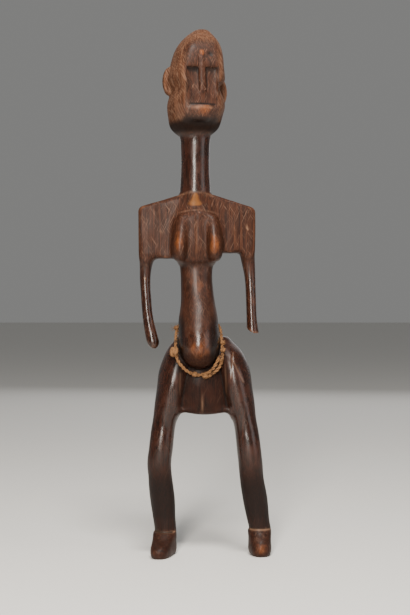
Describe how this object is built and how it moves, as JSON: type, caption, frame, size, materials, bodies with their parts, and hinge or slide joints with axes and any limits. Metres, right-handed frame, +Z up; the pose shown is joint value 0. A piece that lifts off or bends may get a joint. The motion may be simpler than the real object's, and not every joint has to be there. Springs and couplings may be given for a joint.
{
  "type": "carved standing figure",
  "caption": "Carved wooden standing ancestor figure with a long neck, square shoulders, bent legs and a knotted fibre cord round the hips.",
  "frame": {"origin": "on the floor plane, under the middle of the figure's bounding box", "axes": "+Z up from soles to crown; the figure faces -Y; its own right side is at -X"},
  "size_m": [0.1409, 0.0804, 0.5574],
  "materials": {
    "patinated_wood": "dark reddish-brown hardwood with a handled, waxy patina, worn paler on the edges",
    "plant_fibre_cord": "dry twisted plant-fibre cord, tan, matt"
  },
  "bodies": {
    "root": {"carved_figure": "patinated_wood", "waist_cord": "plant_fibre_cord", "front_end_knot": "plant_fibre_cord", "side_end_knot": "plant_fibre_cord", "side_knot": "plant_fibre_cord", "upper_knot": "plant_fibre_cord", "tuft_knot": "plant_fibre_cord", "hip_knot": "plant_fibre_cord", "front_knot": "plant_fibre_cord"}
  },
  "joints": []
}
